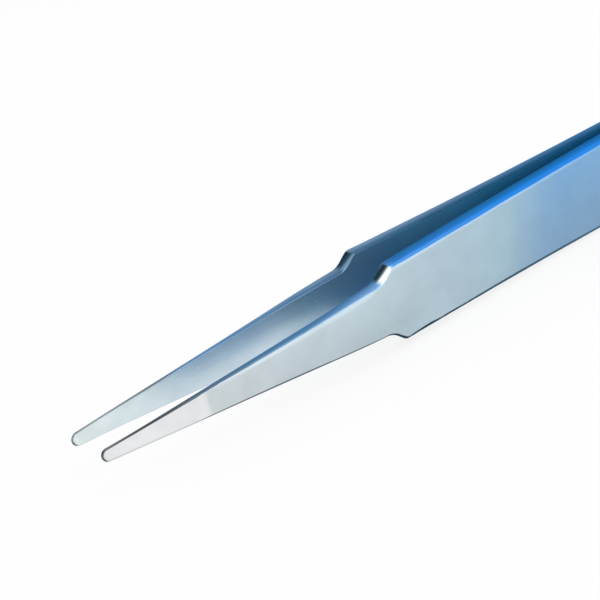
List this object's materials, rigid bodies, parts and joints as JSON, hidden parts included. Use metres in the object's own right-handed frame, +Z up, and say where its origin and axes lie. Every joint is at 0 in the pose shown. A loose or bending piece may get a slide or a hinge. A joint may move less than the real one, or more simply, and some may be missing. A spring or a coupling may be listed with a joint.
{
  "type": "tweezers",
  "caption": "Flat precision tweezers with stepped shoulders and slim blades that taper to thin rounded tips, sprung arms joined at the tail.",
  "frame": {"origin": "middle of the footprint, on the surface that the lower edges of both arms rest on", "axes": "-X toward the tips and +X toward the joined tail, the arms open along Y with the right arm on +Y, +Z up along the width of the arms"},
  "size_m": [0.12, 0.0092, 0.011],
  "materials": {
    "steel": "satin polished stainless steel with a cool blue cast"
  },
  "bodies": {
    "root": {"left_arm": "steel", "right_arm": "steel"}
  },
  "joints": []
}
